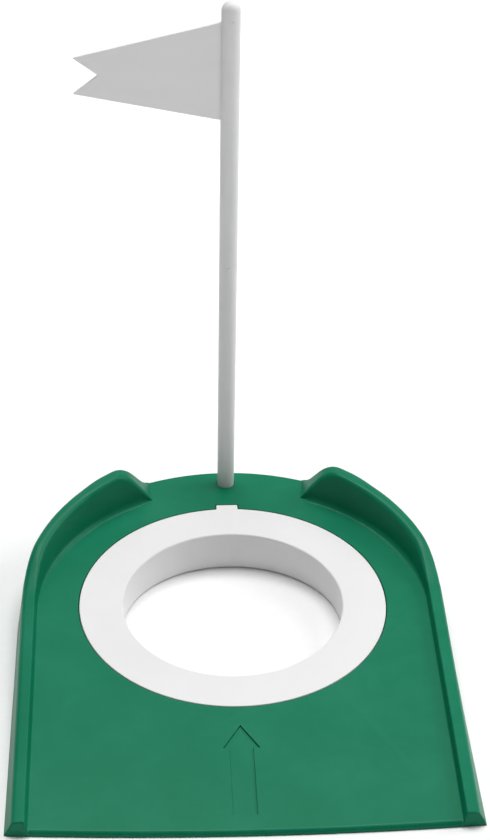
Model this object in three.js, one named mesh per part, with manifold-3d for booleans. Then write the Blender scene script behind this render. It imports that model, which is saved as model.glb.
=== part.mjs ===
// Practice putting hole: a ramped green plate with a cup hole, a white cup ring, a flagstick and a pennant.
// Millimetres, +Z up. The ball rolls in along +Y: the thin front edge is at -Y, the backstop and flag at +Y.
// Every piece is drawn about the cup axis, then the whole group is moved to put the origin at the middle of
// the footprint, on the floor.
import * as THREE from 'three';
import { mergeVertices } from 'three/addons/utils/BufferGeometryUtils.js';
import Module from 'manifold-3d';

const wasm = await Module();
wasm.setup();

// ---- driving dimensions ----
const CUP_RADIUS = 54;            // regulation 108 mm hole
const SLEEVE_WALL = 2;
const RING_RADIUS = 75.5;
const RING_THICK = 2.6;
const TAB_WIDTH = 11;
const TAB_REACH = 3.3;            // how far the key tab passes the ring's edge
const CLEARANCE = 0.3;            // gap left round a piece that fits into another
const RING_GAP = 0.45;            // the wider gap round the lift-out ring

const HALF_WIDTH = 106.4;
const FRONT_Y = -152.7;           // the two front corners
const FRONT_BOW = 3.8;            // the front edge bulges this much at its middle
const ARC_Y = 0.9;                // centre of the half-round rear outline
const FRONT_THICK = 3;
const RAMP = 0.085;               // rise of the deck per unit of run

const KERB_HEIGHT = 5.3;          // above the deck, along the straight sides
const WING_HEIGHT = 13.2;         // above the deck, where the curved wing has risen, at WING_Y
const WING_Y = 35;
const WING_CLIMB = 0.098;         // extra rise of the wing per unit of y behind that
const WING_START = 0;
const WING_FULL = 34;
const SHOULDER_ROUND = 3.6;       // radius of the kerb's outer shoulder
const SHOULDER_INSET = 6.3;       // and how far its centre is from the outline
const SIDE_CROWN = 8;             // degrees that the side kerb's top tilts outwards
const CROWN_DROP = 0.55;          // and how far it falls, from its inner edge to the shoulder
const SIDE_INNER_ROUND = 0.8;     // radius of the top's inner edge
const WING_INNER_ROUND = 3;
const DRAFT = 0.2;                // lean of the inner face, per unit of height
const FOOT_RADIUS = 96.2;         // foot of the kerb's inner face, on the deck
const FOOT_ARC_Y = -4.3;
const GAP_HALF_FRONT = 38.2;      // half the opening between the wings, at the deck, at y = 80
const GAP_HALF_REAR = 41.2;       // and at y = 107
const GAP_SLOPE = 1.25;           // rise of the wings' sloping ends per unit of x
const GAP_ROUND = 9;              // radius where the sloping end meets the wing's top
const GAP_EDGE_INSET = 0.2;

const SKIN = 2.4;                 // wall thickness of the moulding
const SKIRT = 4.6;
const CORE_FROM = 0.36;           // the wings are cored out from below between these angles
const CORE_TO = 0.95;
const RIB = 1.6;
const ISLAND_RADIUS = 78.4;       // outside of the ledge that carries the ring

const STICK_RADIUS = 4.3;          // at its foot
const STICK_TOP_RADIUS = 4.65;     // just below its dome: the rod widens evenly
const STICK_Y = 98.2;
const STICK_TOP = 290.5;
const STICK_LEAN = 0.33;          // degrees to +X, which the play in the socket lets it take
const SOCKET_FLOOR = 3;
const BOSS_RADIUS = 7.6;

const PENNANT_THICK = 2;
const SLOT_DEPTH = 2.6;
const HOIST_LOW = 230.6;
const HOIST_HIGH = 280.3;
const FLY_LOW = 244.3;
const FLY_HIGH = 262.7;
const FLY_X = -75.4;
const NOTCH_X = -63.2;
const NOTCH_Z = 253.8;

const ARROW_DEPTH = 0.9;
const ARROW_TIP = -88.2;
const ARROW_BARB = -103.2;
const ARROW_TAIL = -145.8;
const ARROW_HALF = 8.4;
const ARROW_SHAFT_HALF = 5.4;

const FINE = 64;                  // facets of a large round
const SMALL = 32;                 // facets of a small round
const BOW_STEPS = 12;             // straight stretches along the bowed front edge

// ---- heights ----
const deckZ = (y) => FRONT_THICK + RAMP * (y - FRONT_Y);

const wingness = (y) => THREE.MathUtils.smoothstep(y, WING_START, WING_FULL);

function kerbTop(y) {
  const wing = WING_HEIGHT + WING_CLIMB * (y - WING_Y);
  return deckZ(y) + THREE.MathUtils.lerp(KERB_HEIGHT, wing, wingness(y));
}

// ---- solids ----
// One closed solid from any closed geometry: vertices merged, collapsed triangles dropped, faces outwards.
function solid(geometry) {
  const bare = geometry.clone();
  bare.deleteAttribute('normal');
  bare.deleteAttribute('uv');
  const merged = mergeVertices(bare, 1e-4);
  const points = merged.attributes.position.array;
  const kept = [];
  let volume = 0;
  for (let i = 0; i < merged.index.count; i += 3) {
    const [a, b, c] = [0, 1, 2].map((k) => merged.index.getX(i + k));
    if (a === b || b === c || c === a) continue;
    kept.push(a, b, c);
    const [p, q, r] = [a, b, c].map((k) => new THREE.Vector3().fromArray(points, 3 * k));
    volume += p.dot(q.cross(r));
  }
  if (volume < 0) kept.reverse();
  const mesh = new wasm.Mesh({
    numProp: 3,
    vertProperties: Float32Array.from(points),
    triVerts: Uint32Array.from(kept),
  });
  return new wasm.Manifold(mesh);
}

// A closed solid through a row of loops that have equally many points, flat at both ends.
function loft(loops, outline) {
  const count = loops[0].length;
  const last = (loops.length - 1) * count;
  const index = [];
  for (let i = 0; i < last; i += count) {
    for (let j = 0; j < count; j++) {
      const k = (j + 1) % count;
      index.push(i + j, i + k, i + count + k, i + j, i + count + k, i + count + j);
    }
  }
  const clockwise = THREE.ShapeUtils.isClockWise(outline);
  for (const face of THREE.ShapeUtils.triangulateShape(outline, [])) {
    const [a, b, c] = clockwise ? [...face].reverse() : face;
    index.push(c, b, a, last + a, last + b, last + c);
  }
  const geometry = new THREE.BufferGeometry().setFromPoints(loops.flat());
  geometry.setIndex(index);
  return solid(geometry);
}

// A shape drawn in plan and pulled up from z = low to z = high.
function upright(shape, low, high, facets = FINE) {
  const options = { depth: high - low, bevelEnabled: false, curveSegments: facets };
  return solid(new THREE.ExtrudeGeometry(shape, options).translate(0, 0, low));
}

// The same, laid along the ramp: low and high are measured from the deck.
function ramped(shape, low, high, facets = FINE) {
  const options = { depth: high - low, bevelEnabled: false, curveSegments: facets };
  const geometry = new THREE.ExtrudeGeometry(shape, options).translate(0, 0, low);
  const tilt = new THREE.Matrix4().makeShear(0, 0, 0, RAMP, 0, 0);
  return solid(geometry.applyMatrix4(tilt).translate(0, 0, deckZ(0)));
}

function disc(radius, x = 0, y = 0) {
  return new THREE.Shape().absarc(x, y, radius, 0, 2 * Math.PI);
}

function rectangle(x0, y0, x1, y1) {
  return new THREE.Shape([[x0, y0], [x1, y0], [x1, y1], [x0, y1]].map(([x, y]) => new THREE.Vector2(x, y)));
}

// The plate's plan: straight sides, half-round rear and a bowed front edge, all pulled in by inset.
function platePlan(inset) {
  const half = HALF_WIDTH - inset;
  const front = FRONT_Y + inset;
  const plan = new THREE.Shape();
  plan.moveTo(half, front);
  plan.lineTo(half, ARC_Y);
  plan.absarc(0, ARC_Y, half, 0, Math.PI);
  for (let i = 0; i <= BOW_STEPS; i++) {
    const across = (2 * i) / BOW_STEPS - 1;
    plan.lineTo(half * across, front - FRONT_BOW * (1 - across ** 2));
  }
  return plan;
}

function piece(name, shape, color, roughness) {
  const { vertProperties, triVerts } = shape.getMesh();
  const geometry = new THREE.BufferGeometry();
  geometry.setAttribute('position', new THREE.BufferAttribute(vertProperties, 3));
  geometry.setIndex(new THREE.BufferAttribute(triVerts, 1));
  geometry.computeVertexNormals();
  const mesh = new THREE.Mesh(geometry, new THREE.MeshStandardMaterial({ color, roughness, metalness: 0 }));
  mesh.name = name;
  return mesh;
}

// ---- base plate ----
// Stations along the kerb, from the right front corner round the rear to the left front corner.
function kerbStations() {
  const steps = 36;
  const stations = [{ angle: 0, y: FRONT_Y - 10 }];
  for (let i = 0; i <= steps; i++) {
    stations.push({ angle: (Math.PI * i) / steps, y: 0 });
  }
  stations.push({ angle: Math.PI, y: FRONT_Y - 10 });
  return stations;
}

function kerbPoint(station, inset, z) {
  const radius = HALF_WIDTH - inset;
  const y = station.y ? station.y : ARC_Y + radius * Math.sin(station.angle);
  return new THREE.Vector3(radius * Math.cos(station.angle), y, z);
}

// Where the inner face meets the deck, as an inset from the outline.
function footInset(angle) {
  const shift = ARC_Y - FOOT_ARC_Y;
  const reach = Math.sqrt(FOOT_RADIUS ** 2 - (shift * Math.cos(angle)) ** 2);
  return HALF_WIDTH - (reach - shift * Math.sin(angle));
}

// The kerb's section, as [inset from the outline, height]: an outer face drawn straight from the floor line
// to a rounded shoulder, a nearly flat top, a rounded inner edge and an inner face with draft, whose foot
// is just below the deck. Between the wings the outer face is upright.
function kerbProfile(station) {
  const crest = kerbPoint(station, 5.5, 0).y;
  const top = kerbTop(crest);
  const wing = wingness(crest);
  const inner = THREE.MathUtils.lerp(SIDE_INNER_ROUND, WING_INNER_ROUND, wing);
  const crown = THREE.MathUtils.degToRad(SIDE_CROWN) * (1 - wing);
  const drop = CROWN_DROP * (1 - wing);
  const side = Math.abs(kerbPoint(station, 0, 0).x);
  const clear = THREE.MathUtils.smoothstep(side, GAP_HALF_REAR, GAP_HALF_REAR + 12);
  const upright = GAP_EDGE_INSET + SHOULDER_ROUND;
  const centre = THREE.MathUtils.lerp(upright, SHOULDER_INSET, clear);
  const centreZ = top - drop - SHOULDER_ROUND * Math.cos(crown);
  const steepest = Math.atan2(centreZ, centre) + Math.asin(SHOULDER_ROUND / Math.hypot(centre, centreZ));
  const profile = [[0, 0]];
  for (let i = 0; i <= 5; i++) {
    const turn = THREE.MathUtils.lerp(steepest, crown, i / 5);
    profile.push([centre - SHOULDER_ROUND * Math.sin(turn), centreZ + SHOULDER_ROUND * Math.cos(turn)]);
  }
  const foot = footInset(station.angle);
  const footZ = deckZ(kerbPoint(station, foot, 0).y);
  const face = Math.atan(1 / DRAFT);
  const start = foot - DRAFT * (top - footZ) - inner * Math.tan(face / 2);
  for (let i = 0; i <= 4; i++) {
    const turn = (face * i) / 4;
    profile.push([start + inner * Math.sin(turn), top - inner * (1 - Math.cos(turn))]);
  }
  profile.push([foot + DRAFT, footZ - 1], [foot + DRAFT, 0]);
  return profile;
}

function kerb() {
  const sections = kerbStations().map((station) => {
    const profile = kerbProfile(station);
    return { profile, loop: profile.map(([inset, z]) => kerbPoint(station, inset, z)) };
  });
  const outline = sections[0].profile.map(([x, y]) => new THREE.Vector2(x, y));
  return loft(sections.map((section) => section.loop), outline);
}

// The air between the two wings: it widens upwards along the wings' sloping ends, then rounds over onto
// their tops, and it also widens a little to the rear.
function wingGap() {
  const slope = Math.atan(GAP_SLOPE);
  const end = THREE.MathUtils.degToRad(8);
  const far = 200;
  const slice = (y, half) => {
    const z = deckZ(y);
    const top = kerbTop(y);
    const corner = half + (top - z) / GAP_SLOPE;
    const centre = corner + GAP_ROUND * Math.tan(slope / 2);
    const right = [[half, z]];
    for (let i = 0; i <= 5; i++) {
      const turn = THREE.MathUtils.lerp(slope, end, i / 5);
      right.push([centre - GAP_ROUND * Math.sin(turn), top - GAP_ROUND * (1 - Math.cos(turn))]);
    }
    const [lastX, lastZ] = right.at(-1);
    right.push([far, lastZ + Math.tan(end) * (far - lastX)], [far, 120]);
    const left = right.map(([x, up]) => [-x, up]).reverse();
    return [...right, ...left].map(([x, up]) => new THREE.Vector3(x, y, up));
  };
  const widen = (GAP_HALF_REAR - GAP_HALF_FRONT) / 27;
  const loops = [60, 130].map((y) => slice(y, GAP_HALF_FRONT + widen * (y - 80)));
  return loft(loops, loops[0].map((p) => new THREE.Vector2(p.x, p.z)));
}

// The hollow inside one wing, open to the underside, that keeps its walls about SKIN thick.
function wingCore(side) {
  const steps = 10;
  const sections = [];
  for (let i = 0; i <= steps; i++) {
    const turn = THREE.MathUtils.lerp(CORE_FROM, CORE_TO, i / steps);
    const station = { angle: side > 0 ? turn : Math.PI - turn, y: 0 };
    const at = (inset) => kerbPoint(station, inset, 0).y;
    const top = kerbTop(at(5.5)) - 2 * SKIN;
    const foot = footInset(station.angle) - SKIN;
    const deck = deckZ(at(foot)) - SKIN;
    const profile = [[SKIRT, -1], [SKIRT + 0.2, deck], [5.8, top], [8.2, top], [foot, deck], [foot, -1]];
    sections.push({ profile, loop: profile.map(([inset, z]) => kerbPoint(station, inset, z)) });
  }
  const outline = sections[0].profile.map(([x, y]) => new THREE.Vector2(x, y));
  return loft(sections.map((section) => section.loop), outline);
}

function ribs() {
  const reach = 200;
  let grid = upright(rectangle(-RIB / 2, -reach, RIB / 2, reach), -2, 40);
  for (const x of [-84, -42, 42, 84]) {
    grid = grid.add(upright(rectangle(x - RIB / 2, -reach, x + RIB / 2, reach), -2, 40));
  }
  for (const y of [-112, -58, 0, 58]) {
    grid = grid.add(upright(rectangle(-reach, y - RIB / 2, reach, y + RIB / 2), -2, 40));
  }
  return grid;
}

// The hollow under the deck, with the ribs, the cup wall, the ring's ledge and the stick's boss left standing.
function underside() {
  const ledge = RING_THICK + CLEARANCE + SKIN;
  const open = ramped(platePlan(SKIRT), -60, -SKIN);
  const shallow = ramped(disc(ISLAND_RADIUS), -60, -ledge);
  const deep = ramped(disc(ISLAND_RADIUS), -70, 10);
  const hollow = open.subtract(deep).add(shallow.intersect(open));
  const cupWall = upright(disc(CUP_RADIUS + SLEEVE_WALL + CLEARANCE + SKIN), -10, 60);
  const boss = upright(disc(BOSS_RADIUS, 0, STICK_Y), -10, 60, SMALL);
  const floor = upright(rectangle(-200, -200, 200, 200), -80, -1);
  return hollow.subtract(cupWall).subtract(boss).subtract(ribs()).subtract(floor);
}

function arrow() {
  const points = [
    [0, ARROW_TIP],
    [-ARROW_HALF, ARROW_BARB],
    [-ARROW_SHAFT_HALF, ARROW_BARB],
    [-ARROW_SHAFT_HALF, ARROW_TAIL],
    [ARROW_SHAFT_HALF, ARROW_TAIL],
    [ARROW_SHAFT_HALF, ARROW_BARB],
    [ARROW_HALF, ARROW_BARB],
  ];
  return ramped(new THREE.Shape(points.map(([x, y]) => new THREE.Vector2(x, y))), -ARROW_DEPTH, 5);
}

function basePlate() {
  const around = upright(platePlan(0), -1, 80);
  const deck = ramped(platePlan(6), -60, 0).intersect(upright(platePlan(0), 0, 80));
  const tabHalf = TAB_WIDTH / 2 + RING_GAP;
  const tab = rectangle(-tabHalf, CUP_RADIUS + 10, tabHalf, RING_RADIUS + TAB_REACH + RING_GAP);
  const seat = ramped(disc(RING_RADIUS + RING_GAP), -RING_THICK - CLEARANCE, 10)
    .add(ramped(tab, -RING_THICK - CLEARANCE, 10));
  const cup = upright(disc(CUP_RADIUS + SLEEVE_WALL + CLEARANCE), -10, 60);
  const socket = upright(disc(STICK_RADIUS + CLEARANCE, 0, STICK_Y), SOCKET_FLOOR, 60, SMALL);
  return deck.add(frontEdge()).add(kerb().intersect(around))
    .subtract(wingGap())
    .subtract(underside())
    .subtract(wingCore(1).add(wingCore(-1)).subtract(ribs()))
    .subtract(seat)
    .subtract(cup)
    .subtract(socket)
    .subtract(arrow());
}

// The thin lip ahead of the deck's straight part, up to the bowed front edge.
function frontEdge() {
  const lip = rectangle(-HALF_WIDTH + 6, FRONT_Y - 20, HALF_WIDTH - 6, FRONT_Y + 20);
  return ramped(lip, -60, 0).intersect(upright(platePlan(0), 0, 80));
}

// ---- cup ring ----
function cupRing() {
  const tab = rectangle(-TAB_WIDTH / 2, CUP_RADIUS + 10, TAB_WIDTH / 2, RING_RADIUS + TAB_REACH);
  const flange = ramped(disc(RING_RADIUS), -RING_THICK, 0).add(ramped(tab, -RING_THICK, 0));
  const below = ramped(disc(RING_RADIUS), -60, -RING_THICK / 2);
  const sleeve = upright(disc(CUP_RADIUS + SLEEVE_WALL), 0.5, 60).intersect(below);
  return flange.add(sleeve).subtract(upright(disc(CUP_RADIUS), -10, 60));
}

// ---- flagstick and pennant ----
// Turned by the small lean about the middle of the socket.
function leaning(shape) {
  const middle = (SOCKET_FLOOR + deckZ(STICK_Y)) / 2;
  return shape.translate(0, 0, -middle).rotate(0, STICK_LEAN, 0).translate(0, 0, middle);
}

function flagstick() {
  const profile = [new THREE.Vector2(0, SOCKET_FLOOR + CLEARANCE)];
  profile.push(new THREE.Vector2(STICK_RADIUS, SOCKET_FLOOR + CLEARANCE));
  const domeSteps = 8;
  for (let i = 0; i <= domeSteps; i++) {
    const angle = (Math.PI / 2) * (i / domeSteps);
    const z = STICK_TOP - STICK_TOP_RADIUS + STICK_TOP_RADIUS * Math.sin(angle);
    profile.push(new THREE.Vector2(i < domeSteps ? STICK_TOP_RADIUS * Math.cos(angle) : 0, z));
  }
  const rod = solid(new THREE.LatheGeometry(profile, SMALL).rotateX(Math.PI / 2));
  const half = PENNANT_THICK / 2 + CLEARANCE;
  const mouth = rectangle(-20, -half, SLOT_DEPTH - STICK_RADIUS + CLEARANCE, half);
  const slot = upright(mouth, HOIST_LOW - CLEARANCE, HOIST_HIGH + CLEARANCE);
  return leaning(rod.subtract(slot).translate(0, STICK_Y, 0));
}

function pennant() {
  const outline = [
    [SLOT_DEPTH - STICK_RADIUS, HOIST_HIGH],
    [-STICK_RADIUS, HOIST_HIGH],
    [FLY_X, FLY_HIGH],
    [NOTCH_X, NOTCH_Z],
    [FLY_X, FLY_LOW],
    [-STICK_RADIUS, HOIST_LOW],
    [SLOT_DEPTH - STICK_RADIUS, HOIST_LOW],
  ];
  const shape = new THREE.Shape(outline.map(([x, z]) => new THREE.Vector2(x, z)));
  const plate = new THREE.ExtrudeGeometry(shape, { depth: PENNANT_THICK, bevelEnabled: false });
  return leaning(solid(plate.rotateX(Math.PI / 2).translate(0, STICK_Y + PENNANT_THICK / 2, 0)));
}

// ---- the object ----
const group = new THREE.Group();
group.add(piece('base_plate', basePlate(), 0x297c5e, 0.42));
group.add(piece('cup_ring', cupRing(), 0xf1f1ef, 0.4));
group.add(piece('flagstick', flagstick(), 0xdddddb, 0.4));
group.add(piece('pennant', pennant(), 0xdddddb, 0.4));
group.position.y = -(FRONT_Y - FRONT_BOW + ARC_Y + HALF_WIDTH) / 2;

export default group;
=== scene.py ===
# %% [markdown]
# # A practice putting hole, part by part
#
# The object is a ramped green plate with a white lift-out cup ring, a white flagstick and a pennant.
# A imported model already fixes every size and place, so the first step is to load it as a frame.
# Each new piece is then modelled over the solid that it stands for, and it rides on the same body.

import math

import bmesh
import bpy
from mathutils import Matrix, Vector


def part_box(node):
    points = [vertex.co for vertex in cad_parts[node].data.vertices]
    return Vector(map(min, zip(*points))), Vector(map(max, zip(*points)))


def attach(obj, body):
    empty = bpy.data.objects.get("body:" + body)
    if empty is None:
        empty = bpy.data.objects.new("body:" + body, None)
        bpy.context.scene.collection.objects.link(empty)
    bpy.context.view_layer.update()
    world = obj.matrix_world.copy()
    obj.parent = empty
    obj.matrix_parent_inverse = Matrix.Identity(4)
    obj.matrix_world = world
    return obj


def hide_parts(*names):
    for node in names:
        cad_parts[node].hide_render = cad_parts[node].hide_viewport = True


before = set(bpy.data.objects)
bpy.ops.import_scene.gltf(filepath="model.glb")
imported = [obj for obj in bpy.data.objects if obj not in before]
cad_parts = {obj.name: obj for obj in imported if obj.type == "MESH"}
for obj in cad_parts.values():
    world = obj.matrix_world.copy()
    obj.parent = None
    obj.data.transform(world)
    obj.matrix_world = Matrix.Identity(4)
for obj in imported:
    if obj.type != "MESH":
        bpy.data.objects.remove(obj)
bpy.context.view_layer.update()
print("nodes:", sorted(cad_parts))

# %% [markdown]
# Millimetres are easier to think in than metres, so every dimension below is in millimetres.
# The plate was drawn about the axis of its cup, which is a little in front of the frame's origin:
# the tools here work about the cup too, and one matrix at the end takes a piece to its place.

# %% Units and the cup's axis
MM = 0.001
ring_low, ring_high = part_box("cup_ring")
RING_RADIUS = (ring_high[0] - ring_low[0]) / 2 / MM
CUP_AXIS_Y = ring_low[1] / MM + RING_RADIUS
TO_FRAME = Matrix.Scale(MM, 4) @ Matrix.Translation((0, CUP_AXIS_Y, 0))
HALF_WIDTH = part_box("base_plate")[1][0] / MM
print(f"ring radius {RING_RADIUS:.2f} mm, cup axis at y = {CUP_AXIS_Y:.2f} mm")

# %% [markdown]
# ## The camera
#
# A long lens from about a metre away keeps the plate's sides from converging too fast.
# The camera could be aimed with a constraint, but plain turns about Z, X and Z say the same thing
# and leave nothing to evaluate: heading, then tilt, then a touch of roll.

# %% Camera
CAMERA_PLACE = (-0.04142, -0.91573, 0.67023)
HEADING, TILT_DOWN, ROLL = -0.0495, 0.529, 0.010

camera_data = bpy.data.cameras.new("camera")
camera_data.lens = 99.36
camera_data.clip_end = 20
camera = bpy.data.objects.new("camera", camera_data)
bpy.context.scene.collection.objects.link(camera)
bpy.context.scene.camera = camera
camera.matrix_world = (
    Matrix.Translation(CAMERA_PLACE)
    @ Matrix.Rotation(HEADING, 4, "Z")
    @ Matrix.Rotation(math.pi / 2 - TILT_DOWN, 4, "X")
    @ Matrix.Rotation(ROLL, 4, "Z")
)
print("camera at", tuple(round(v, 3) for v in camera.location))

# %% [markdown]
# ## Writing shader maths
#
# A material is a graph of nodes, and wiring sums by hand hides what they mean.
# `Wire` wraps an output socket: `1 - mask * 0.3` then adds the two Math nodes itself.
# Everything that isn't a sum comes from `Wire.node`, which takes the node's type, its settings
# and the values or wires of its sockets, by name or by number.


# %% A wire of the material
class Wire:
    tree = None

    def __init__(self, socket):
        self.socket = socket

    @classmethod
    def node(cls, kind, settings=None, sockets=None, out=0):
        made = cls.tree.nodes.new("ShaderNode" + kind)
        for name, value in (settings or {}).items():
            if name == "stops":
                for stop, (place, shade) in zip(cls.stops(made, len(value)), value):
                    stop.position = place
                    stop.color = (*shade, 1) if isinstance(shade, tuple) else (shade, shade, shade, 1)
            else:
                setattr(made, name, value)
        for key, value in (sockets or {}).items():
            if isinstance(value, Wire):
                cls.tree.links.new(value.socket, made.inputs[key])
            else:
                made.inputs[key].default_value = value
        return cls(made.outputs[out])

    @staticmethod
    def stops(ramp, count):
        elements = ramp.color_ramp.elements
        while len(elements) < count:
            elements.new(1.0)
        return elements

    def sum(self, operation, first, second):
        return Wire.node("Math", {"operation": operation}, {0: first, 1: second})

    def __add__(self, other):
        return self.sum("ADD", self, other)

    def __sub__(self, other):
        return self.sum("SUBTRACT", self, other)

    def __rsub__(self, other):
        return self.sum("SUBTRACT", other, self)

    def __mul__(self, other):
        return self.sum("MULTIPLY", self, other)

    __radd__ = __add__
    __rmul__ = __mul__


# %% [markdown]
# ## Three looks of moulded plastic
#
# The plate is injection-moulded polypropylene: a satin green with a very fine grain from the mould,
# slow changes of gloss where the melt flowed, and corners that look paler where they are handled.
# The ring and the stick are the same plastic in white, smoother, with faint flow marks.
# One recipe covers them all. Its noise reads Object coordinates, so a grain of half a millimetre
# stays half a millimetre on every piece.

# %% The plastic recipe
PLASTIC_IOR = 1.46
FLOW_SCALE, MOTTLE_SCALE = 26.0, 140.0
BUMP_DEPTH = 0.00006


def noise(place, scale, detail, roughness):
    sockets = {"Vector": place, "Scale": scale, "Detail": detail, "Roughness": roughness}
    return Wire.node("TexNoise", {}, sockets)


def ramp(stops, wire):
    return Wire.node("ValToRGB", {"stops": stops}, {0: wire})


def plastic(name, color, deep, pale, roughness, sheen, grain, grain_size, streak=(1, 1, 1)):
    material = bpy.data.materials.new(name)
    material.use_nodes = True
    Wire.tree = material.node_tree
    shader = material.node_tree.nodes["Principled BSDF"]
    shader.inputs["IOR"].default_value = PLASTIC_IOR
    shader.inputs["Specular IOR Level"].default_value = sheen

    place = Wire.node("TexCoord", out="Object")
    drawn = Wire.node("Mapping", {}, {"Vector": place, "Scale": streak})
    flow = noise(drawn, FLOW_SCALE, 3.0, 0.55)
    mottle = noise(place, MOTTLE_SCALE, 4.0, 0.6)
    grains = noise(place, 1 / (grain_size * MM), 2.0, 0.6)
    edge = ramp([(0.52, 0.0), (0.62, 1.0)], Wire.node("NewGeometry", out="Pointiness"))

    tint = ramp([(0.3, deep), (0.5, color), (0.72, pale)], flow * 0.7 + mottle * 0.3)
    worn = Wire.node("Mix", {"data_type": "RGBA"}, {0: edge * 0.35, 6: tint, 7: (*pale, 1)}, out=2)
    gloss = roughness - 0.05 + flow * 0.06 + mottle * 0.04 + edge * 0.03
    height = grains * 0.8 + mottle * 0.2
    bump = Wire.node("Bump", {}, {"Strength": grain, "Distance": BUMP_DEPTH, "Height": height})
    for socket, wire in (("Base Color", worn), ("Roughness", gloss), ("Normal", bump)):
        material.node_tree.links.new(wire.socket, shader.inputs[socket])
    print(f"{name}: {len(material.node_tree.nodes)} nodes")
    return material


# %% [markdown]
# ### One recipe, four plastics
#
# The four pieces differ only in colour, gloss and grain, so each plastic is one call of the recipe.
# The pennant's white is paler than the stick's only as painted light.
# Copying a material and changing the copy by hand would work too, but a later change of the recipe
# would then have to be made four times.

# %% Green, ring white, stick white and pennant white
green_plastic = plastic(
    "green_plastic", (0.0022, 0.187, 0.094), (0.0016, 0.173, 0.086), (0.0070, 0.206, 0.111),
    roughness=0.36, sheen=0.16, grain=0.30, grain_size=0.45)
ring_plastic = plastic(
    "ring_plastic", (0.835, 0.831, 0.833), (0.823, 0.819, 0.821), (0.853, 0.851, 0.853),
    roughness=0.38, sheen=0.35, grain=0.12, grain_size=0.6)
stick_plastic = plastic(
    "stick_plastic", (0.820, 0.815, 0.817), (0.800, 0.795, 0.798), (0.850, 0.846, 0.848),
    roughness=0.44, sheen=0.35, grain=0.22, grain_size=0.5, streak=(6, 6, 1))
# Painted light: the pennant is the same white plastic as the stick, but its colour is set paler, so that the
# thin plate shows brighter than the rod.
pennant_plastic_with_painted_light = plastic(
    "pennant_plastic_with_painted_light", (0.890, 0.882, 0.886), (0.872, 0.864, 0.868), (0.905, 0.898, 0.902),
    roughness=0.46, sheen=0.5, grain=0.30, grain_size=0.55, streak=(1, 1, 3))

# %% [markdown]
# ## Tools for the bench
#
# A piece starts as a bmesh in millimetres and becomes an object before it is cut.
# Holes and hollows could be left open while the plate is built, but a moulder cuts them from a block,
# and so does a Boolean. The exact solver is slower than the fast one, but it keeps flat faces flat,
# which matters for a plate that is mostly one flat deck.


# %% From bmesh to object
def as_object(bm, name):
    mesh = bpy.data.meshes.new(name)
    bm.to_mesh(mesh)
    bm.free()
    made = bpy.data.objects.new(name, mesh)
    bpy.context.scene.collection.objects.link(made)
    print(f"{name}: {len(mesh.vertices)} vertices")
    return made


def verts_of(geom):
    return [g for g in geom if isinstance(g, bmesh.types.BMVert)]


def edges_of(geom):
    return [g for g in geom if isinstance(g, bmesh.types.BMEdge)]


def cut(body, tool_bm, operation="DIFFERENCE"):
    tool = as_object(tool_bm, "tool")
    modifier = body.modifiers.new("cut", "BOOLEAN")
    modifier.operation = operation
    modifier.solver = "EXACT"
    modifier.object = tool
    bpy.context.view_layer.update()
    depsgraph = bpy.context.evaluated_depsgraph_get()
    baked = bpy.data.meshes.new_from_object(body.evaluated_get(depsgraph))
    body.modifiers.clear()
    old, body.data = body.data, baked
    bpy.data.meshes.remove(old)
    bpy.data.objects.remove(tool)


# %% [markdown]
# ### Which side is out
#
# A spun or mirrored shell may be inside out, and then it shades and cuts wrongly.
# Turning faces over by eye in the editor can't be repeated by a script. Recalculating makes the faces
# agree with each other, and the signed volume then tells whether they agree on outwards.


# %% Outward faces
def outward(bm):
    bmesh.ops.recalc_face_normals(bm, faces=bm.faces)
    if bm.calc_volume(signed=True) < 0:
        bmesh.ops.reverse_faces(bm, faces=bm.faces)
    return bm


# %% [markdown]
# ### The last step of every piece
#
# Every moulded piece ends the same way: it is taken to its place, gets its plastic and is shaded
# smooth up to a sharpness. It hides the solid that it replaces and rides on the given body.
# A subdivision would soften the cut rims, so smooth shading is used instead. Weighted normals follow
# the large flat faces, and a flat deck beside a narrow rounding then keeps its even shade.


# %% Finishing a piece
def finished(piece, name, node, body, material, sharp=35):
    piece.name = name
    piece.data.name = name
    piece.data.transform(TO_FRAME)
    piece.data.materials.clear()
    piece.data.materials.append(material)
    piece.data.shade_smooth()
    piece.data.set_sharp_from_angle(angle=math.radians(sharp))
    weighted = piece.modifiers.new("weighted_normals", "WEIGHTED_NORMAL")
    weighted.keep_sharp = True
    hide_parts(node)
    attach(piece, body)
    low = [min(v.co[i] for v in piece.data.vertices) for i in range(3)]
    high = [max(v.co[i] for v in piece.data.vertices) for i in range(3)]
    print(f"{name}: {len(piece.data.polygons)} faces,",
          "low", [round(c, 4) for c in low], "high", [round(c, 4) for c in high])


# %% [markdown]
# ## The plate: one section carried round
#
# The real plate is a single moulding: a deck that rises to the rear, low kerbs along its sides,
# and two high wings behind the hole that stop a ball. It could be built from slabs and cut,
# but the kerb keeps one section all the way round and only changes its height.
# So a chain of vertices is spun half round for the rear and pulled straight for the sides,
# and then each vertex moves to the section's true shape at its own station.

# %% Heights of the deck and the kerb
FRONT_Y, FRONT_BOW, FRONT_THICK = -152.7, 3.8, 3.0
ARC_Y = 0.9
RAMP = 0.085
KERB_HEIGHT, WING_HEIGHT, WING_Y, WING_CLIMB = 5.3, 13.2, 35.0, 0.098
WING_FULL = 34.0


def deck_z(y):
    return FRONT_THICK + RAMP * (y - FRONT_Y)


def blend(a, b, t):
    return a + (b - a) * t


def ease(t):
    t = min(max(t, 0.0), 1.0)
    return t * t * (3 - 2 * t)


def kerb_height(y):
    wing = WING_HEIGHT + WING_CLIMB * (y - WING_Y)
    return blend(KERB_HEIGHT, wing, ease(y / WING_FULL))


print(f"deck rises from {deck_z(FRONT_Y):.1f} to {deck_z(ARC_Y + HALF_WIDTH):.1f} mm")

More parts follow.
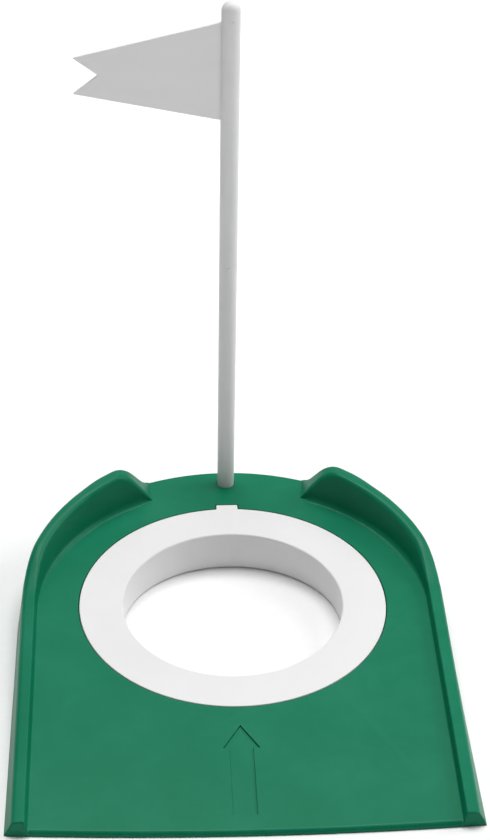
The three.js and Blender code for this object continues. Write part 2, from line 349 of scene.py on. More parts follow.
# %% [markdown]
# ### The wings' sloping ends
#
# Each wing ends in a slope that comes down to the deck beside the flagstick, and the crest above it
# is well rounded. The slope's foot runs nearly straight to the rear, not towards the hole,
# so the stations near it are skewed to lie along it: the crease then falls on a row of vertices.
# A smooth minimum of two heights, the wing's and the slope's, gives the rounded crest.

# %% Stations of the kerb
FOOT_RADIUS, FOOT_ARC_Y = 96.2, -4.3
GAP_FRONT_Y, GAP_HALF_FRONT, GAP_WIDEN = 80, 38.2, 3.0 / 27
GAP_SLOPE = 1.25
CREST_BLEND, CREASE_BLEND = 7.5, 0.8
SKEW_FROM, SKEW_IN, SKEW_UNTIL, SKEW_OUT = -14, 12, 26, 20


def gap_half(y):
    return GAP_HALF_FRONT + GAP_WIDEN * (y - GAP_FRONT_Y)


def smooth_min(a, b, width):
    near = max(width - abs(a - b), 0.0) / width
    return min(a, b) - near * near * width / 4


def foot_point(angle, beyond_gap):
    shift = ARC_Y - FOOT_ARC_Y
    reach = math.sqrt(FOOT_RADIUS**2 - (shift * math.cos(angle))**2) - shift * math.sin(angle)
    turn = math.atan2(shift + reach * math.sin(angle), reach * math.cos(angle))
    turn = min(turn, math.pi - turn)
    skew = ease((beyond_gap - SKEW_FROM) / SKEW_IN) * (1 - ease((beyond_gap - SKEW_UNTIL) / SKEW_OUT))
    target = beyond_gap + gap_half(0) + GAP_WIDEN * FOOT_ARC_Y
    slant = FOOT_RADIUS * math.hypot(1, GAP_WIDEN)
    along = math.acos(min(target / slant, 1)) - math.atan(GAP_WIDEN)
    turn = blend(turn, along, skew)
    side = math.copysign(1, math.cos(angle))
    return Vector((side * FOOT_RADIUS * math.cos(turn), FOOT_ARC_Y + FOOT_RADIUS * math.sin(turn), 0))


print(f"gap between the wings, 100 mm behind the cup's axis: {2 * gap_half(100):.1f} mm")

# %% [markdown]
# ### The section itself
#
# From the floor it climbs an outer face that leans in until it touches the round of the shoulder,
# crosses an almost flat top, rounds an inner edge and comes down a face with a little draft,
# and a fillet leads it onto the deck. The radii shrink with the height, so that the section
# dies away to nothing where the wings end.

# %% Section of the kerb
SHOULDER, CROWN, FACE, FILLET = 9, 5, 3, 7
FULL_HEIGHT = 7
LOW_ROUND, SHOULDER_ROUND = 0.6, 3.6
LOW_INSET, SHOULDER_INSET = 0.2, 6.3
CROWN_TURN, CROWN_DROP = math.radians(8), 0.55
KERB_ROUND, WING_ROUND = 0.8, 3.0
KERB_FILLET, WING_FILLET = 0.7, 3.2
DRAFT = 0.2
LEAN = math.atan(1 / DRAFT)


def section(height, above_floor, run, wing):
    full = ease(height / FULL_HEIGHT)
    round_out = blend(LOW_ROUND, SHOULDER_ROUND, full)
    crown_turn = CROWN_TURN * (1 - wing) * full
    crown_drop = CROWN_DROP * (1 - wing) * full
    largest = 0.4 * height + 0.01
    round_in = min(blend(KERB_ROUND, WING_ROUND, wing), largest)
    fillet = min(blend(KERB_FILLET, WING_FILLET, wing), largest)
    centre = blend(LOW_INSET + round_out, SHOULDER_INSET, full)
    centre_z = height - crown_drop - round_out * math.cos(crown_turn)
    rise = centre_z + above_floor
    steepest = math.atan2(rise, centre) + math.asin(round_out / math.hypot(centre, rise))
    points = []
    for i in range(SHOULDER + 1):
        turn = blend(steepest, crown_turn, i / SHOULDER)
        points.append((centre - round_out * math.sin(turn), centre_z + round_out * math.cos(turn), 1))
    start = run - DRAFT * height - round_in * math.tan(LEAN / 2)
    for i in range(CROWN + 1):
        turn = LEAN * i / CROWN
        points.append((start + round_in * math.sin(turn), height - round_in * (1 - math.cos(turn)), 1))
    reach = fillet * math.tan(LEAN / 2)
    bottom = (run - reach * math.cos(LEAN), reach * math.sin(LEAN))
    for i in range(1, FACE):
        inset, rise = points[-1][:2]
        points.append((blend(inset, bottom[0], i / FACE), blend(rise, bottom[1], i / FACE), 0))
    for i in range(FILLET + 1):
        turn = LEAN * (1 - i / FILLET)
        points.append((run + reach - fillet * math.sin(turn), fillet * (1 - math.cos(turn)), 0))
    points.append((run + reach + 0.4, 0.0, 0))
    return points


SECTION_POINTS = 1 + len(section(10, 20, 12, 1))
print("points in the section:", SECTION_POINTS)

# %% [markdown]
# ### From chain to shell
#
# A vertex's z is only a number at first, its place in the section, so that each vertex can look up
# where it belongs once the operators have made the faces. The alternative, a new section drawn
# at each station and bridged to the last, would need hundreds of chains instead of one.

# %% Where a vertex of the shell belongs
CREST_INSET = 5.5


def kerb_vertex(station_y, angle, index):
    outline = Vector((HALF_WIDTH * math.cos(angle), ARC_Y + HALF_WIDTH * math.sin(angle), 0))
    beyond_gap = abs(outline.x) - gap_half(outline.y)
    foot = foot_point(angle, beyond_gap)
    if station_y is not None:
        outline.y = foot.y = station_y
    if index == 0:
        return outline
    run = (foot - outline).length
    crest_y = outline.y + (foot.y - outline.y) * CREST_INSET / run
    height = smooth_min(kerb_height(crest_y), GAP_SLOPE * beyond_gap, CREST_BLEND)
    height = -smooth_min(-height, 0.0, CREASE_BLEND)
    points = section(height, deck_z(crest_y), run, ease(crest_y / WING_FULL))
    inset, rise, level = points[index - 1]
    place = outline + (foot - outline) * (inset / run)
    if level:
        share = 1.0
    else:
        share = min(rise / height, 1.0) if height > 0.01 else 0.0
    level_top = (deck_z(crest_y) - deck_z(place.y)) * ease(height / FULL_HEIGHT) * share
    place.z = deck_z(place.y) + rise + level_top
    return place


side_crest = kerb_vertex(-60.0, 0.0, SHOULDER + 1)
print("outer edge of the right side's crest:", [round(c, 2) for c in side_crest])

# %% [markdown]
# ### The rear half round, the sides straight
#
# The rear of the real plate is a half circle and its sides are straight. `bmesh.ops.spin` carries
# the chain round for the one, in half-degree steps, and its two ends are extruded for the other.
# A curve with a profile could follow the same path, but its section couldn't change on the way.

# %% Spin the chain and pull its ends
SPIN_STEPS = 360
FRONT_SPARE = 8
STRAIGHT_STEPS = 6

bm = bmesh.new()
chain = [bm.verts.new((HALF_WIDTH, 0, i)) for i in range(SECTION_POINTS)]
links = [bm.edges.new(pair) for pair in zip(chain, chain[1:])]
spun = bmesh.ops.spin(
    bm, geom=chain + links, cent=(0, 0, 0), axis=(0, 0, 1), angle=math.pi, steps=SPIN_STEPS,
    use_merge=False, use_duplicate=False)
ends = [links, edges_of(spun["geom_last"])]
for i, end in enumerate(ends):
    for _ in range(STRAIGHT_STEPS):
        pulled = bmesh.ops.extrude_edge_only(bm, edges=end)["geom"]
        end = [e for e in edges_of(pulled) if e.is_boundary and all(v in pulled for v in e.verts)]
        end = [e for e in end if abs(e.verts[0].co.z - e.verts[1].co.z) > 0.5]
        forward = (0, (FRONT_Y - FRONT_SPARE) / STRAIGHT_STEPS, 0)
        bmesh.ops.translate(bm, vec=forward, verts=list({v for e in end for v in e.verts}))
    ends[i] = end

levels = {v: round(v.co.z) for v in bm.verts}
for v, index in levels.items():
    on_side = v.co.y < -1e-3
    if on_side:
        angle = 0.0 if v.co.x > 0 else math.pi
    else:
        angle = math.atan2(max(v.co.y, 0.0), v.co.x)
    v.co = kerb_vertex(v.co.y if on_side else None, angle, index)
print("shell:", len(bm.verts), "vertices")

# %% [markdown]
# ### Closing the shell
#
# The strip is still open between its innermost rows and below. Three large faces close it:
# the deck, the floor side and the front. A grid of squares would look tidier on a screen,
# but it adds nothing to a flat deck that exact cuts go through afterwards.

# %% Close the deck, the underside and the front
last = SECTION_POINTS - 1
corner = {(i, level): next(v for e in end for v in e.verts if levels[v] == level)
          for i, end in enumerate(ends) for level in (0, last)}
across = {level: bm.edges.new((corner[0, level], corner[1, level])) for level in (0, last)}
rims = {level: [e for e in bm.edges if e.is_boundary and all(levels[v] == level for v in e.verts)]
        for level in (0, last)}
for level in (0, last):
    bmesh.ops.contextual_create(bm, geom=rims[level] + [across[level]])
bmesh.ops.contextual_create(bm, geom=ends[0] + ends[1] + list(across.values()))
outward(bm)
print("closed:", all(e.is_manifold for e in bm.edges), "volume cm3", round(bm.calc_volume() / 1000, 1))
plate = as_object(bm, "plate")

# %% [markdown]
# ### Cutting tools
#
# Nearly every hole in the plate follows the ramp: round when seen from above, but laid on the deck.
# A shear does that, because it keeps the plan and lifts each point with the deck.
# The tools are drums and blocks from `create_cone` and `create_cube`, and slabs pulled from one face.
# Turning each tool to the ramp would be simpler to say, but it would make the round holes oval in plan.

# %% Drums, blocks and slabs
BELOW, ABOVE, FAR = -10, 60, 200
ON_DECK = Matrix(((1, 0, 0, 0), (0, 1, 0, 0), (0, RAMP, 1, deck_z(0)), (0, 0, 0, 1)))


def drum(radius, low, high, facets=192, x=0.0, y=0.0, on_deck=False):
    bm = bmesh.new()
    bmesh.ops.create_cone(
        bm, cap_ends=True, segments=facets, radius1=radius, radius2=radius, depth=high - low,
        matrix=Matrix.Translation((x, y, (low + high) / 2)))
    if on_deck:
        bmesh.ops.transform(bm, matrix=ON_DECK, verts=bm.verts)
    return bm


def block(low, high, on_deck=False):
    bm = bmesh.new()
    size = [b - a for a, b in zip(low, high)]
    middle = [(a + b) / 2 for a, b in zip(low, high)]
    sized = Matrix.Translation(middle) @ Matrix.Diagonal((*size, 1))
    bmesh.ops.create_cube(bm, size=1, matrix=sized)
    if on_deck:
        bmesh.ops.transform(bm, matrix=ON_DECK, verts=bm.verts)
    return bm


def slab(corners, low, high, on_deck=False):
    bm = bmesh.new()
    face = bm.faces.new([bm.verts.new((x, y, low)) for x, y in corners])
    raised = bmesh.ops.extrude_face_region(bm, geom=[face])["geom"]
    bmesh.ops.translate(bm, vec=(0, 0, high - low), verts=verts_of(raised))
    if on_deck:
        bmesh.ops.transform(bm, matrix=ON_DECK, verts=bm.verts)
    return outward(bm)


print(f"the deck slopes by {math.degrees(math.atan(RAMP)):.1f} degrees")

# %% [markdown]
# ### The bowed front
#
# The front edge isn't straight: its middle stands 4 mm ahead of its corners. Bending the finished
# plate would bend the holes as well, so the spare length is cut off with a section that is
# carried round the far centre of the bow by one small spin.

# %% Cut the front to its bow
BOW_RADIUS = (HALF_WIDTH**2 + FRONT_BOW**2) / (2 * FRONT_BOW)
BOW_CENTRE_Y = FRONT_Y - FRONT_BOW + BOW_RADIUS
WASTE_REACH, WASTE_LOW, WASTE_HIGH = 30, -5, 40


def bowed(profile, half, steps=64):
    bm = bmesh.new()
    turn = math.asin(half / BOW_RADIUS)
    face = bm.faces.new([bm.verts.new((0, -radius, z)) for radius, z in profile])
    bmesh.ops.rotate(bm, cent=(0, 0, 0), matrix=Matrix.Rotation(-turn, 3, "Z"), verts=bm.verts)
    bmesh.ops.spin(
        bm, geom=[face], cent=(0, 0, 0), axis=(0, 0, 1), angle=2 * turn, steps=steps,
        use_merge=False, use_duplicate=False)
    bmesh.ops.translate(bm, vec=(0, BOW_CENTRE_Y, 0), verts=bm.verts)
    return outward(bm)


waste = [(BOW_RADIUS, WASTE_LOW), (BOW_RADIUS + WASTE_REACH, WASTE_LOW),
         (BOW_RADIUS + WASTE_REACH, WASTE_HIGH), (BOW_RADIUS, WASTE_HIGH)]
cut(plate, bowed(waste, HALF_WIDTH + 10))
print(f"bow: radius {BOW_RADIUS:.0f} mm, {len(plate.data.polygons)} faces")

# %% [markdown]
# ### Rounding the lip
#
# The upper front edge of the real plate is rounded, so that a ball rolls on without a bump.
# A bevel suits a single edge, but this one is a chain along a bowed ramp that has to stop short of
# the kerbs. A bowed cutter with the radius in its section does that, once it is laid on the deck.

# %% Round the lip
LIP_ROUND, LIP_HALF = 2.0, 95.2
LIP_STEPS, LIP_SINK = 8, 0.03

rounding = [(BOW_RADIUS + 4, -1.0), (BOW_RADIUS + 4, 3.0), (BOW_RADIUS - LIP_ROUND, 3.0)]
for i in range(LIP_STEPS + 1):
    turn = math.radians(blend(88, 2, i / LIP_STEPS))
    rounding.append((BOW_RADIUS - LIP_ROUND + LIP_SINK + LIP_ROUND * math.cos(turn),
                     LIP_SINK - LIP_ROUND + LIP_ROUND * math.sin(turn)))
lip = bowed(rounding, LIP_HALF)
for v in lip.verts:
    v.co.z += deck_z(v.co.y)
cut(plate, lip)
print("front cut:", len(plate.data.polygons), "faces")

# %% [markdown]
# ### Seat, cup hole, socket and arrow
#
# The ring drops into a shallow seat with a notch for its key tab, the hole goes right through,
# and the stick has a blind socket. The arrow is sunk into the deck and shows a player the line.
# The sizes come from the frame's own boxes where it has them, so that each piece still fits its seat.

# %% Cut the holes
RING_GAP, CLEARANCE = 0.45, 0.3
RING_THICK = 2.6
CUP_RADIUS, SLEEVE_WALL = 54.0, 2.0
TAB_HALF, TAB_REACH = 5.5, 3.3
stick_low, stick_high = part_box("flagstick")
STICK_RADIUS = 4.3
STICK_Y = (stick_low[1] + stick_high[1]) / 2 / MM - CUP_AXIS_Y
SOCKET_FLOOR = 3.0
ARROW_DEPTH = 0.9
BARB_HALF, SHAFT_HALF = 8.4, 5.4
TIP_Y, BARB_Y, TAIL_Y = -88.2, -103.2, -145.8
ARROW = [(0, TIP_Y), (-BARB_HALF, BARB_Y), (-SHAFT_HALF, BARB_Y), (-SHAFT_HALF, TAIL_Y),
         (SHAFT_HALF, TAIL_Y), (SHAFT_HALF, BARB_Y), (BARB_HALF, BARB_Y)]

tab_edge = RING_RADIUS + TAB_REACH + RING_GAP
seat_low = -RING_THICK - CLEARANCE
notch_low, notch_high = (-TAB_HALF - RING_GAP, 64, seat_low), (TAB_HALF + RING_GAP, tab_edge, 10)
cut(plate, drum(RING_RADIUS + RING_GAP, seat_low, 10, 288, on_deck=True))
cut(plate, block(notch_low, notch_high, on_deck=True))
cut(plate, drum(CUP_RADIUS + SLEEVE_WALL + CLEARANCE, BELOW, ABOVE, 192))
cut(plate, drum(STICK_RADIUS + CLEARANCE, SOCKET_FLOOR, ABOVE, 64, y=STICK_Y))
cut(plate, slab(ARROW, -ARROW_DEPTH, 6, on_deck=True))
print("holes cut:", len(plate.data.polygons), "faces, stick at y", round(STICK_Y, 2))

# %% [markdown]
# ### The underside
#
# A moulding this size isn't solid: from below it is a tray with walls about 2.4 mm thick,
# a lattice of thin ribs, a wall round the cup, a boss for the stick and a core inside each wing.
# The hollow is built as one solid of air, with everything that stays standing taken out of it,
# and then it is cut from the plate in one go.

# %% The air below the deck
SKIN, SKIRT = 2.4, 4.6
SEAT_ISLAND = 78.4
AIR_FLOOR = -5

bm = bmesh.new()
tip = bm.verts.new((HALF_WIDTH - SKIRT, 0, 0))
arc = bmesh.ops.spin(
    bm, geom=[tip], cent=(0, 0, 0), axis=(0, 0, 1), angle=math.pi, steps=96,
    use_merge=False, use_duplicate=False)
bmesh.ops.translate(bm, vec=(0, ARC_Y, 0), verts=bm.verts)
arc_ends = [tip, verts_of(arc["geom_last"])[0]]
front_ends = bmesh.ops.extrude_vert_indiv(bm, verts=arc_ends)["verts"]
bmesh.ops.translate(bm, vec=(0, FRONT_Y + SKIRT - ARC_Y, 0), verts=front_ends)
bm.edges.new(front_ends)
bmesh.ops.contextual_create(bm, geom=bm.edges[:])
raised = bmesh.ops.extrude_face_region(bm, geom=bm.faces[:])["geom"]
for v in bm.verts:
    v.co.z = AIR_FLOOR
for v in verts_of(raised):
    v.co.z = deck_z(v.co.y) - SKIN
air = as_object(outward(bm), "air")
cut(air, drum(SEAT_ISLAND, seat_low - SKIN, 40, 128, on_deck=True))

# %% [markdown]
# ### Cores in the wings
#
# A wing this thick would sink in as it cools if it were solid, so a moulder cores it from below.
# A scaled copy of the wing would leave walls of uneven thickness. Instead a loop of six points is
# spun along the wing, and each point is put under the wing's own surface at its station.

# %% The core inside a wing
CORE_FROM, CORE_TO, CORE_STEPS = 0.36, 0.95, 12
PAST_THE_SLOPE = 99


def wing_core(side):
    bm = bmesh.new()
    loop = [bm.verts.new((HALF_WIDTH, 0, i)) for i in range(6)]
    rim = [bm.edges.new((loop[i], loop[(i + 1) % 6])) for i in range(6)]
    bmesh.ops.spin(
        bm, geom=loop + rim, cent=(0, 0, 0), axis=(0, 0, 1), angle=CORE_TO - CORE_FROM, steps=CORE_STEPS,
        use_merge=False, use_duplicate=False)
    for v in bm.verts:
        turn = CORE_FROM + math.atan2(v.co.y, v.co.x)
        outline = Vector((HALF_WIDTH * math.cos(turn), ARC_Y + HALF_WIDTH * math.sin(turn), 0))
        run = (foot_point(turn, PAST_THE_SLOPE) - outline).length
        crest_y = ARC_Y + (HALF_WIDTH - CREST_INSET) * math.sin(turn)
        top = deck_z(crest_y) + kerb_height(crest_y) - 2 * SKIN
        below = deck_z(ARC_Y + (HALF_WIDTH - run) * math.sin(turn)) - SKIN - 0.1
        insets = [SKIRT + 0.05, SKIRT + 0.2, 5.8, 8.2, run - SKIN, run - SKIN]
        heights = [-4, below, top, top, below, -4]
        index = round(v.co.z)
        radius = HALF_WIDTH - insets[index]
        v.co = (side * radius * math.cos(turn), ARC_Y + radius * math.sin(turn), heights[index])
    bmesh.ops.holes_fill(bm, edges=[e for e in bm.edges if e.is_boundary], sides=0)
    return outward(bm)


for side in (1, -1):
    cut(air, wing_core(side), "UNION")
print("cores joined:", len(air.data.polygons), "faces")

# %% [markdown]
# ### Ribs, boss and cup wall
#
# Thin ribs stiffen the deck, a boss holds the stick and a wall goes round the cup. They could be
# modelled and joined on one by one. Taking them out of the air and cutting the plate only once
# leaves no seam where a rib meets the deck.

# %% What stays standing in the air
RIB, BOSS_RADIUS = 1.6, 7.6
RIBS_ACROSS_X, RIBS_ACROSS_Y = (-84, -42, 0, 42, 84), (-112, -58, 0, 58)
FLOOR_SPARE = -1

cut(air, drum(CUP_RADIUS + SLEEVE_WALL + CLEARANCE + SKIN, BELOW, ABOVE, 128))
cut(air, drum(BOSS_RADIUS, BELOW, ABOVE, 48, y=STICK_Y))
for x in RIBS_ACROSS_X:
    cut(air, block((x - RIB / 2, -FAR, BELOW), (x + RIB / 2, FAR, ABOVE)))
for y in RIBS_ACROSS_Y:
    cut(air, block((-FAR, y - RIB / 2, BELOW), (FAR, y + RIB / 2, ABOVE)))
cut(air, block((-FAR, -FAR, -20), (FAR, FAR, FLOOR_SPARE)))
hollow = bmesh.new()
hollow.from_mesh(air.data)
bpy.data.objects.remove(air)
cut(plate, hollow)
print("underside cut:", len(plate.data.polygons), "faces")

# %% [markdown]
# ### Rounding the rims
#
# Moulded rims are never knife-sharp, so each rim on the deck gets a small radius.
# A Bevel modifier with an angle limit would catch the ribs below as well. Here the rims are
# picked by where they lie and by how sharply their two faces meet.

# %% Picking the rims
SHARP_RIM = 0.6
ARROW_END_Y, ARROW_SIDE = -85, 9
RIM_REACH = 104


def sharp_rim(edge):
    return edge.calc_face_angle(0) > SHARP_RIM


def on_deck(edge):
    return all(abs(v.co.z - deck_z(v.co.y)) < 0.01 for v in edge.verts) and sharp_rim(edge)


def by_arrow(edge):
    return all(v.co.y < ARROW_END_Y and abs(v.co.x) < ARROW_SIDE for v in edge.verts)


def by_holes(edge):
    return all(v.co.y > ARROW_END_Y and v.co.xy.length < RIM_REACH for v in edge.verts)


def on_kerb_end(edge):
    return all(abs(math.hypot(v.co.x, v.co.y - BOW_CENTRE_Y) - BOW_RADIUS) < 0.02 and v.co.z > 0.5
               and abs(v.co.x) > LIP_HALF + 0.3 for v in edge.verts) and sharp_rim(edge)


def round_edges(bm, picked, radius, segments):
    print("rounding", len(picked), "edges by", radius, "mm")
    bmesh.ops.bevel(
        bm, geom=picked, offset=radius, offset_type="OFFSET", affect="EDGES", segments=segments,
        profile=0.5, material=-1, clamp_overlap=False)


# %% [markdown]
# ### Merge, join and bevel
#
# The exact cuts leave some vertices a few hundredths of a millimetre apart, and such slivers show as
# streaks in the shading. They are merged, then flat neighbours are joined, and only then are the
# rims rounded, because a bevel needs clean edges to run along.

# %% Round the rims
MERGE_WITHIN, FLAT_WITHIN = 0.03, math.radians(0.15)

bm = bmesh.new()
bm.from_mesh(plate.data)
bmesh.ops.remove_doubles(bm, verts=bm.verts, dist=MERGE_WITHIN)
bmesh.ops.dissolve_limit(bm, angle_limit=FLAT_WITHIN, verts=bm.verts, edges=bm.edges)
round_edges(bm, [e for e in bm.edges if on_deck(e) and by_arrow(e)], 0.3, 3)
round_edges(bm, [e for e in bm.edges if on_deck(e) and by_holes(e)], 0.35, 3)
round_edges(bm, [e for e in bm.edges if on_kerb_end(e)], 0.9, 4)
bm.to_mesh(plate.data)
bm.free()
finished(plate, "putting_plate", "base_plate", "base", green_plastic, sharp=33)

# %% [markdown]
# ## The cup ring
#
# The white ring is a flat flange on a short sleeve. A cylinder with holes cut in it would do, but
# turning one section about the cup's axis gives the small radii as well. The flange follows the
# ramp while the sleeve's lower edge is level, so after the spin the upper points are laid on
# the deck and the lower ones, which are drawn 100 mm down to tell them apart, are brought back.


# %% Spin the ring
def arc_points(x, z, radius, first, last, steps):
    turns = [math.radians(blend(first, last, i / steps)) for i in range(steps + 1)]
    return [(x + radius * math.cos(t), z + radius * math.sin(t)) for t in turns]


SET_APART = -100
SLEEVE_FOOT = ring_low[2] / MM
flange = arc_points(CUP_RADIUS + 0.9, -0.9, 0.9, 180, 90, 6)
flange += arc_points(RING_RADIUS - 0.5, -0.5, 0.5, 90, 0, 4)
flange += arc_points(RING_RADIUS - 0.2, -RING_THICK + 0.2, 0.2, 0, -90, 2)
flange += arc_points(CUP_RADIUS + SLEEVE_WALL + 0.6, -RING_THICK - 0.6, 0.6, 90, 180, 3)
sleeve_end = arc_points(CUP_RADIUS + SLEEVE_WALL - 0.5, SLEEVE_FOOT + 0.5, 0.5, 0, -90, 3)
sleeve_end += arc_points(CUP_RADIUS + 0.5, SLEEVE_FOOT + 0.5, 0.5, -90, -180, 3)
ring_section = flange + [(r, z + SET_APART) for r, z in sleeve_end]

bm = bmesh.new()
loop = [bm.verts.new((r, 0, z)) for r, z in ring_section]
rim = [bm.edges.new((loop[i - 1], loop[i])) for i in range(len(loop))]
bmesh.ops.spin(
    bm, geom=loop + rim, cent=(0, 0, 0), axis=(0, 0, 1), angle=2 * math.pi, steps=288,
    use_merge=True, use_duplicate=False)
bmesh.ops.remove_doubles(bm, verts=bm.verts, dist=0.001)
for v in bm.verts:
    v.co.z = v.co.z - SET_APART if v.co.z < SET_APART / 2 else v.co.z + deck_z(v.co.y)
ring = as_object(outward(bm), "ring")

# %% [markdown]
# ### The key tab
#
# A small square tab at the back keeps the ring from turning in its seat. Extruding a few faces of
# the flange would give it the flange's slanting facets, so it is a block of its own with
# rounded corners, laid on the ramp and joined on.

# %% Join the key tab
TAB_FROM_Y, TAB_FREE_Y = 66, 70

tab = block((-TAB_HALF, TAB_FROM_Y, -RING_THICK), (TAB_HALF, RING_RADIUS + TAB_REACH, 0))
uprights = [e for e in tab.edges if all(v.co.y > TAB_FREE_Y for v in e.verts)
            and abs(e.verts[0].co.z - e.verts[1].co.z) > 1]
bmesh.ops.bevel(tab, geom=uprights, offset=0.5, affect="EDGES", segments=4, profile=0.5, material=-1)
top_edges = [e for e in tab.edges if all(v.co.z > -0.01 for v in e.verts)
             and any(v.co.y > TAB_FREE_Y for v in e.verts)]
bmesh.ops.bevel(tab, geom=top_edges, offset=0.35, affect="EDGES", segments=3, profile=0.5, material=-1)
bmesh.ops.transform(tab, matrix=ON_DECK, verts=tab.verts)
cut(ring, outward(tab), "UNION")
finished(ring, "lift_out_ring", "cup_ring", "ring", ring_plastic)

# %% [markdown]
# ## The flagstick
#
# The stick is a plain rod that widens a little towards its rounded top, and a slot near that top takes
# the pennant's tongue. A cylinder would need its taper and its dome worked in afterwards,
# so one profile is spun about the axis instead.
# It stands a third of a degree off upright, as a push fit in a plastic socket does.

# %% Spin the stick
STICK_LEAN = math.radians(0.33)
STICK_TOP = 290.5
SOCKET_MIDDLE = (SOCKET_FLOOR + deck_z(STICK_Y)) / 2
LEANING = (Matrix.Translation((0, STICK_Y, SOCKET_MIDDLE)) @ Matrix.Rotation(STICK_LEAN, 4, "Y")
           @ Matrix.Translation((0, 0, -SOCKET_MIDDLE)))
PENNANT_THICK, SLOT_DEPTH, SLOT_PLAY = 2.0, 2.6, 0.2
HOIST_LOW, HOIST_HIGH = 230.6, 280.3
STICK_FOOT = SOCKET_FLOOR + CLEARANCE
DOME = 4.65

profile = [(0.0, STICK_FOOT)] + arc_points(STICK_RADIUS - 0.5, STICK_FOOT + 0.5, 0.5, -90, 0, 3)
profile += [(blend(STICK_RADIUS, DOME, z / STICK_TOP), z) for z in (60, 120, 180, 240)]
profile += [(DOME * math.cos(t), STICK_TOP - DOME + DOME * math.sin(t))
            for t in (math.pi / 2 * i / 12 for i in range(12))]
profile.append((0.0, STICK_TOP))

bm = bmesh.new()
chain = [bm.verts.new((r, 0, z)) for r, z in profile]
links = [bm.edges.new(pair) for pair in zip(chain, chain[1:])]
bmesh.ops.spin(
    bm, geom=chain + links, cent=(0, 0, 0), axis=(0, 0, 1), angle=2 * math.pi, steps=72,
    use_merge=True, use_duplicate=False)
bmesh.ops.remove_doubles(bm, verts=bm.verts, dist=0.001)
stick = as_object(outward(bm), "stick")

slot_half = PENNANT_THICK / 2 + 0.12
slot_end = SLOT_DEPTH - STICK_RADIUS + SLOT_PLAY
cut(stick, block((-20, -slot_half, HOIST_LOW - SLOT_PLAY), (slot_end, slot_half, HOIST_HIGH + SLOT_PLAY)))

# %% [markdown]
# ### Marks of the mould
#
# Two pins of the mould left a shallow pit each, a millimetre wide. A bump in the material would
# give the same dots, but it wouldn't be part of the mesh. Small spheres cut them, with their
# middles just outside the rod.

# %% Pin pits
PIT_RADIUS, PIT_OUTSIDE = 0.55, 0.12
PITS = ((281.7, 0.6), (152.7, -0.2))

for height, across in PITS:
    pit = bmesh.new()
    radius = blend(STICK_RADIUS, DOME, height / STICK_TOP)
    centre_y = -math.sqrt(radius**2 - across**2) - PIT_OUTSIDE
    bmesh.ops.create_icosphere(
        pit, subdivisions=3, radius=PIT_RADIUS, matrix=Matrix.Translation((across, centre_y, height)))
    cut(stick, pit)
stick.data.transform(LEANING)
finished(stick, "flag_stick", "flagstick", "stick", stick_plastic, sharp=40)

# %% [markdown]
# ## The pennant
#
# The pennant is a flat plate of the same plastic with a swallow tail, not cloth:
# its face is dead flat and its upper edge catches the light. A plane with a Solidify modifier would
# give the plate. Drawing one face and pulling it lets the tips and the long edges be rounded after.

# %% Pull and round the pennant
FLY_X, FLY_LOW, FLY_HIGH = -75.4, 244.3, 262.7
NOTCH_X, NOTCH_Z = -63.2, 253.8
TONGUE_X = SLOT_DEPTH - STICK_RADIUS
corners = [
    (TONGUE_X, HOIST_HIGH), (-STICK_RADIUS, HOIST_HIGH), (FLY_X, FLY_HIGH), (NOTCH_X, NOTCH_Z),
    (FLY_X, FLY_LOW), (-STICK_RADIUS, HOIST_LOW), (TONGUE_X, HOIST_LOW)]

bm = bmesh.new()
face = bm.faces.new([bm.verts.new((x, -PENNANT_THICK / 2, z)) for x, z in corners])
raised = bmesh.ops.extrude_face_region(bm, geom=[face])["geom"]
bmesh.ops.translate(bm, vec=(0, PENNANT_THICK, 0), verts=verts_of(raised))
outward(bm)
tips = [e for e in bm.edges if e.verts[0].co.xz == e.verts[1].co.xz and e.verts[0].co.x < NOTCH_X + 1]
bmesh.ops.bevel(bm, geom=tips, offset=0.7, affect="EDGES", segments=4, profile=0.5, material=-1)
long_edges = [e for e in bm.edges if abs(e.verts[0].co.y - e.verts[1].co.y) < 0.01
              and e.calc_face_angle(0) > 1.2 and min(v.co.x for v in e.verts) < -STICK_RADIUS - 0.1]
bmesh.ops.bevel(
    bm, geom=long_edges, offset=0.3, affect="EDGES", segments=3, profile=0.5, material=-1, clamp_overlap=True)
pennant = as_object(outward(bm), "pennant")

# %% [markdown]
# ### The groove beside the rod
#
# Where the real pennant enters the rod there is a thin dark line, because its faces step back
# just before the slot. A dark stripe in the material would look painted from the side, so two
# narrow blocks cut the step, one on each face.

# %% Cut the groove
GROOVE_FROM, GROOVE_TO, GROOVE_HALF = -5.2, -4.35, 0.6
BELOW_HOIST, ABOVE_HOIST = 200, 300

for side in (-1, 1):
    near, far = sorted((side * GROOVE_HALF, side * 3))
    cut(pennant, block((GROOVE_FROM, near, BELOW_HOIST), (GROOVE_TO, far, ABOVE_HOIST)))
pennant.data.transform(LEANING)
finished(pennant, "swallow_tail_pennant", "pennant", "stick", pennant_plastic_with_painted_light)

# %% [markdown]
# ## Floor and light
#
# A small plastic thing is best shown on pale seamless paper. An image could be laid behind it,
# but real paper also throws light back up at the stick and the pennant, as it does in a studio.
# Its tone varies a little, like paper fibre does.

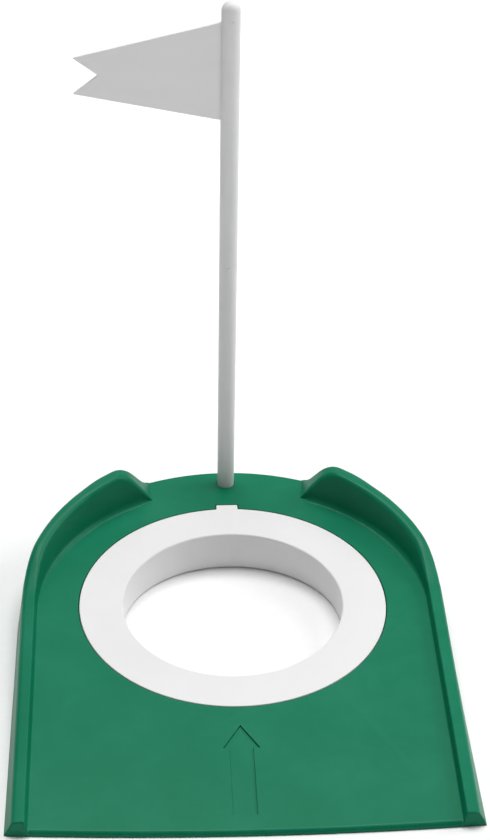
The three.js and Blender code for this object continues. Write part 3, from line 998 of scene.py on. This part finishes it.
# %% Floor
bm = bmesh.new()
bmesh.ops.create_grid(bm, x_segments=2, y_segments=2, size=6)
floor = as_object(bm, "floor")
paper = bpy.data.materials.new("floor_paper")
paper.use_nodes = True
Wire.tree = paper.node_tree
paper_shader = paper.node_tree.nodes["Principled BSDF"]
paper_shader.inputs["Roughness"].default_value = 0.9
paper_shader.inputs["Specular IOR Level"].default_value = 0.1
fibre = noise(Wire.node("TexCoord", out="Object"), 300.0, 3.0, 0.5)
tone = ramp([(0.3, (0.965, 0.965, 0.965)), (0.7, (0.985, 0.985, 0.985))], fibre)
paper.node_tree.links.new(tone.socket, paper_shader.inputs["Base Color"])
floor.data.materials.append(paper)

# %% [markdown]
# ### Soft boxes and sky
#
# A sun lamp would draw hard shadows, so the light comes from area lamps, the soft boxes of a studio.
# A large one above makes the deck and the ring bright, one on the right separates the two wings,
# a panel behind lifts the rear edges and a small narrow one lights the pennant's face.
# A dim even sky keeps the shadows open.


# %% Lamps and sky
def soft_box(name, place, aim, width, depth, power):
    lamp = bpy.data.lights.new(name, "AREA")
    lamp.shape = "RECTANGLE"
    lamp.size, lamp.size_y = width, depth
    lamp.energy = power
    held = bpy.data.objects.new(name, lamp)
    bpy.context.scene.collection.objects.link(held)
    turn = (Vector(aim) - Vector(place)).to_track_quat("-Z", "Y")
    held.matrix_world = Matrix.Translation(place) @ turn.to_matrix().to_4x4()
    print(f"{name}: {power} W")
    return lamp


soft_box("overhead_box", (0.10, 0.70, 2.5), (0, 0.05, 0), width=2.0, depth=1.4, power=58)
soft_box("right_box", (1.9, 0.55, 1.35), (0, 0, 0.03), width=1.2, depth=1.0, power=18)
soft_box("back_panel", (0.0, 2.8, 1.35), (0, 0, 0.1), width=3.2, depth=1.3, power=8)
pennant_fill = soft_box(
    "pennant_fill", (0.02, -1.25, 0.30), (-0.02, 0.12, 0.26), width=0.30, depth=0.12, power=0.046)
pennant_fill.spread = math.radians(20)

sky = bpy.data.worlds.new("sky")
bpy.context.scene.world = sky
sky.use_nodes = True
sky.node_tree.nodes["Background"].inputs["Color"].default_value = (1, 1, 1, 1)
sky.node_tree.nodes["Background"].inputs["Strength"].default_value = 0.15
bpy.context.scene.view_settings.view_transform = "Standard"
bpy.context.scene.view_settings.look = "None"
